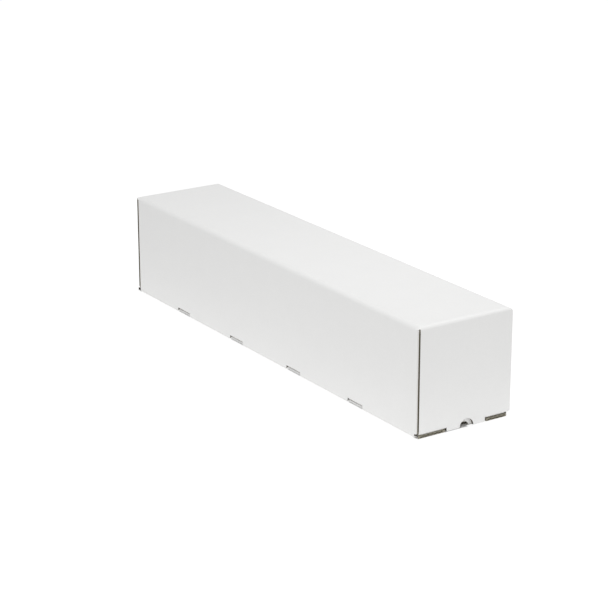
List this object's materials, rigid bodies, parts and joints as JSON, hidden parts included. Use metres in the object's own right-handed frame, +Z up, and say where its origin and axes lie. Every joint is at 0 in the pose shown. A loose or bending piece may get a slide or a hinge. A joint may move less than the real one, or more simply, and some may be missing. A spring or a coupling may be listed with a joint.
{
  "type": "cardboard mailing tube",
  "caption": "Square mailing tube folded from white corrugated board, closed, with a hinged end flap at each end that locks into the bottom panel.",
  "frame": {"origin": "on the floor under the middle of the tube, in the plane of the bottom panel's underside", "axes": "+Z up, +Y along the tube from the front end to the rear end, +X across it to the side away from the long seam"},
  "size_m": [0.1334, 0.6484, 0.1334],
  "materials": {
    "tube_board": "matt white liner outside, brown kraft inside and at the cut edges",
    "flap_board": "matt white liner outside, brown kraft inside and at the cut edges"
  },
  "bodies": {
    "tube": {"tube_body": "tube_board"},
    "front_flap": {"front_end_flap": "flap_board"},
    "rear_flap": {"rear_end_flap": "flap_board"}
  },
  "joints": [
    {"name": "front_flap_hinge", "type": "hinge", "parent": "tube", "child": "front_flap", "pos_m": [0, -0.32324, 0.13244], "axis": [-1, 0, 0], "range_deg": [0, 180]},
    {"name": "rear_flap_hinge", "type": "hinge", "parent": "tube", "child": "rear_flap", "pos_m": [0, 0.32324, 0.13244], "axis": [1, 0, 0], "range_deg": [0, 180]}
  ]
}
